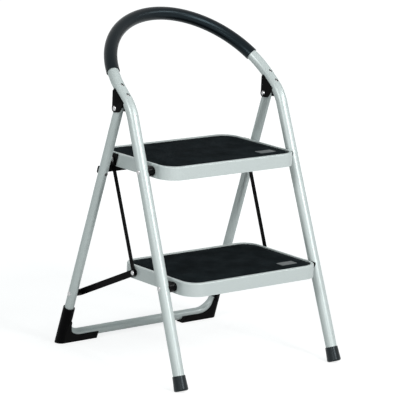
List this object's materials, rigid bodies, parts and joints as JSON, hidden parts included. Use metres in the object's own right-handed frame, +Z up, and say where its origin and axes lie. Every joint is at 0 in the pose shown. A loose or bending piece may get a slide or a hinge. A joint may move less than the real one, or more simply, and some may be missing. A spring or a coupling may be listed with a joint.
{
  "type": "folding step stool",
  "caption": "Folding step stool: bent tube front frame with a padded hoop handle, hinged rear frame, tray treads with ribbed mats, and flat links that fold them together.",
  "frame": {"origin": "centre of the bounding box on the floor, with the stool open and standing on its four feet", "axes": "+Z up; the user climbs towards +Y, so the front legs and the treads' front edges face -Y; X runs along the treads' width, symmetric about X = 0"},
  "size_m": [0.4618, 0.4604, 0.7441],
  "materials": {
    "frame_paint": "silver-grey powder coat, satin",
    "tread_paint": "silver-grey powder coat, satin",
    "black_steel": "black paint, semi-matt",
    "bar_steel": "black paint, semi-matt",
    "foam_grip": "soft foam sleeve, matt with a faint sheen",
    "mat_rubber": "ribbed rubber, matt",
    "boot_rubber": "moulded rubber, satin",
    "black_plastic": "moulded plastic, fine matt",
    "zinc_rivet": "bright zinc plate"
  },
  "bodies": {
    "front_frame": {"front_frame_tube": "frame_paint", "handle_grip": "foam_grip", "hinge_bracket_left": "black_steel", "hinge_bracket_right": "black_steel", "bracket_rivets": "zinc_rivet", "hinge_rivets": "zinc_rivet", "front_boot_left": "boot_rubber", "front_boot_right": "boot_rubber", "upper_pivot_rivets": "zinc_rivet", "lower_pivot_rivets": "zinc_rivet", "upper_front_bushes": "black_plastic", "lower_front_bushes": "black_plastic"},
    "rear_frame": {"rear_frame_tube": "frame_paint", "rear_top_plugs": "black_plastic", "rear_shoe_left": "black_plastic", "rear_shoe_right": "black_plastic", "support_bar": "bar_steel", "support_bar_caps": "black_plastic", "support_bar_rivets": "zinc_rivet", "anchor_bushes": "black_plastic", "anchor_rivets": "zinc_rivet"},
    "upper_step": {"upper_step_tray": "tread_paint", "upper_step_mat": "mat_rubber", "upper_front_standoffs": "black_plastic", "upper_rear_standoffs": "black_plastic", "upper_rear_pads": "black_plastic", "upper_link_rivets": "zinc_rivet"},
    "lower_step": {"lower_step_tray": "tread_paint", "lower_step_mat": "mat_rubber", "lower_front_standoffs": "black_plastic", "lower_rear_standoffs": "black_plastic", "lower_link_rivets": "zinc_rivet"},
    "vertical_link_left_body": {"vertical_link_left": "black_steel"},
    "vertical_link_right_body": {"vertical_link_right": "black_steel"},
    "brace_left_body": {"brace_link_left": "black_steel", "brace_pin_left": "zinc_rivet"},
    "brace_right_body": {"brace_link_right": "black_steel", "brace_pin_right": "zinc_rivet"}
  },
  "joints": [
    {"name": "upper_step_fold", "type": "hinge", "parent": "front_frame", "child": "upper_step", "pos_m": [0, -0.04915, 0.4386], "axis": [1, 0, 0], "range_deg": [0, 61]},
    {"name": "lower_step_fold", "type": "hinge", "parent": "front_frame", "child": "lower_step", "pos_m": [0, -0.13843, 0.206], "axis": [1, 0, 0], "range_deg": [0, 61]},
    {"name": "rear_frame_fold", "type": "hinge", "parent": "front_frame", "child": "rear_frame", "pos_m": [0, 0.04223, 0.5603], "axis": [1, 0, 0], "range_deg": [-36.74, 0]},
    {"name": "vertical_link_left_turn", "type": "hinge", "parent": "upper_step", "child": "vertical_link_left_body", "pos_m": [0, 0.08635, 0.4386], "axis": [1, 0, 0], "range_deg": [-61, 0]},
    {"name": "vertical_link_right_turn", "type": "hinge", "parent": "upper_step", "child": "vertical_link_right_body", "pos_m": [0, 0.08635, 0.4386], "axis": [1, 0, 0], "range_deg": [-61, 0]},
    {"name": "brace_left_turn", "type": "hinge", "parent": "vertical_link_left_body", "child": "brace_left_body", "pos_m": [0, -0.00293, 0.206], "axis": [1, 0, 0], "range_deg": [-75.69, 0]},
    {"name": "brace_right_turn", "type": "hinge", "parent": "vertical_link_right_body", "child": "brace_right_body", "pos_m": [0, -0.00293, 0.206], "axis": [1, 0, 0], "range_deg": [-75.69, 0]}
  ],
  "couplings": [
    {"joint": "lower_step_fold", "follows": "upper_step_fold", "ratio": 1},
    {"joint": "rear_frame_fold", "follows": "upper_step_fold", "ratio": -0.60218},
    {"joint": "vertical_link_left_turn", "follows": "upper_step_fold", "ratio": -1},
    {"joint": "vertical_link_right_turn", "follows": "upper_step_fold", "ratio": -1},
    {"joint": "brace_left_turn", "follows": "upper_step_fold", "ratio": -1.2406},
    {"joint": "brace_right_turn", "follows": "upper_step_fold", "ratio": -1.2406}
  ]
}
